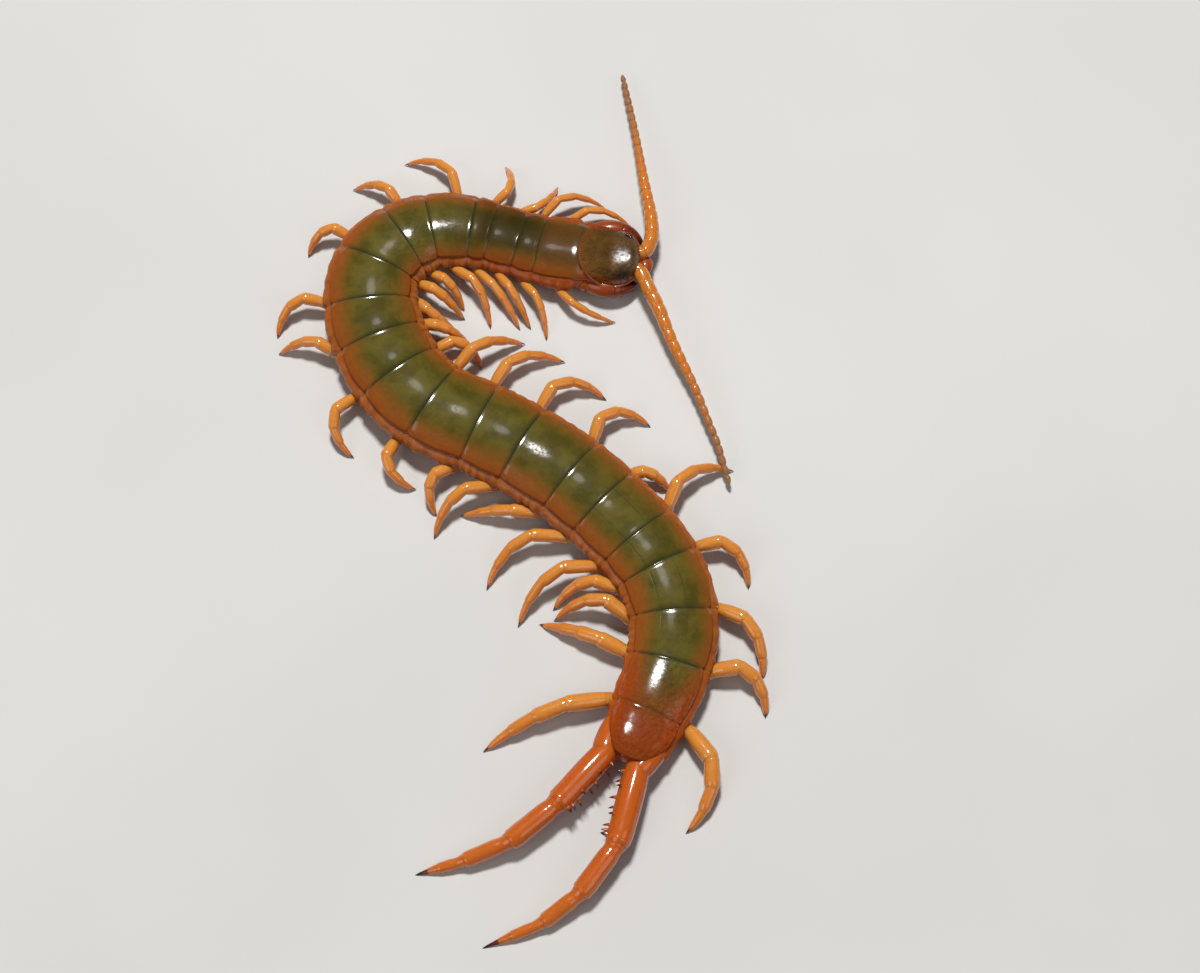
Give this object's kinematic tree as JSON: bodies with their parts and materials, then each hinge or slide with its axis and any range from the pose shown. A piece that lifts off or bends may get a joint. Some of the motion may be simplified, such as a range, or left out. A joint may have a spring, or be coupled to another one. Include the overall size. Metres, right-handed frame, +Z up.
{
  "type": "giant centipede model",
  "caption": "Still, life-size giant centipede: trunk in an S, glossy green back plates, amber legs, orange-red tail legs with spines, long beaded antennae.",
  "frame": {"origin": "centre of the bounding box in plan, on the floor that the feet stand on", "axes": "+Z up. +Y runs the length of the model, from the last legs' claws towards the left antenna's tip. The head lies at +Y and faces +X, and the tail end points to -Y"},
  "size_m": [0.0454, 0.0854, 0.0051],
  "materials": {
    "tergite": "glossy olive-green chitin, orange-brown at the sides and the tail",
    "head": "glossy dark olive-brown chitin",
    "eye": "polished black lenses",
    "forcipule": "glossy red-brown chitin with black tips",
    "antenna": "satin orange-brown chitin",
    "leg": "glossy translucent amber chitin with black claws",
    "last_leg": "glossy orange-red chitin with dark-tipped spines"
  },
  "bodies": {
    "root": {"head": "head", "eye_left": "eye", "eye_right": "eye", "fang_base": "forcipule", "forcipule_left": "forcipule", "forcipule_right": "forcipule", "antenna_left": "antenna", "antenna_right": "antenna", "trunk_1": "tergite", "trunk_2": "tergite", "trunk_3": "tergite", "trunk_4": "tergite", "trunk_5": "tergite", "trunk_6": "tergite", "trunk_7": "tergite", "leg_left_01": "leg", "leg_left_02": "leg", "leg_left_03": "leg", "leg_left_04": "leg", "leg_left_05": "leg", "leg_left_06": "leg", "leg_left_07": "leg", "leg_left_08": "leg", "leg_left_09": "leg", "leg_left_10": "leg", "leg_left_11": "leg", "leg_left_12": "leg", "leg_left_13": "leg", "leg_left_14": "leg", "leg_left_15": "leg", "leg_left_16": "leg", "leg_left_17": "leg", "leg_left_18": "leg", "leg_left_19": "leg", "leg_left_20": "leg", "leg_right_01": "leg", "leg_right_02": "leg", "leg_right_03": "leg", "leg_right_04": "leg", "leg_right_05": "leg", "leg_right_06": "leg", "leg_right_07": "leg", "leg_right_08": "leg", "leg_right_09": "leg", "leg_right_10": "leg", "leg_right_11": "leg", "leg_right_12": "leg", "leg_right_13": "leg", "leg_right_14": "leg", "leg_right_15": "leg", "leg_right_16": "leg", "leg_right_17": "leg", "leg_right_18": "leg", "leg_right_19": "leg", "leg_right_20": "leg", "leg_left_21": "last_leg", "leg_right_21": "last_leg"}
  },
  "joints": []
}
